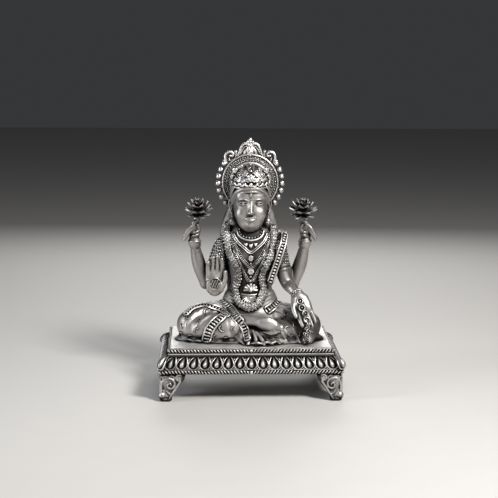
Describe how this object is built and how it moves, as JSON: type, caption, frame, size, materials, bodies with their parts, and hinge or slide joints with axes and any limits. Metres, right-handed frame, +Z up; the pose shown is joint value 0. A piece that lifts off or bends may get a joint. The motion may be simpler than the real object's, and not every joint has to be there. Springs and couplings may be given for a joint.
{
  "type": "lakshmi figure",
  "caption": "Small cast silver figure of a seated, four-armed goddess with raised lotuses and a beaded plate behind her head, on a low footed table with a petal border.",
  "frame": {"origin": "on the surface it stands on, under the middle of the table", "axes": "+Z up, -Y towards the viewer that she faces, +X to that viewer's right"},
  "size_m": [0.0546, 0.0372, 0.0754],
  "materials": {
    "plinth_silver": "antique silver, bright on the high spots and blackened in the recesses",
    "figure_silver": "antique silver, bright on the high spots and blackened in the recesses"
  },
  "bodies": {
    "root": {"plinth": "plinth_silver", "figure": "figure_silver"}
  },
  "joints": []
}
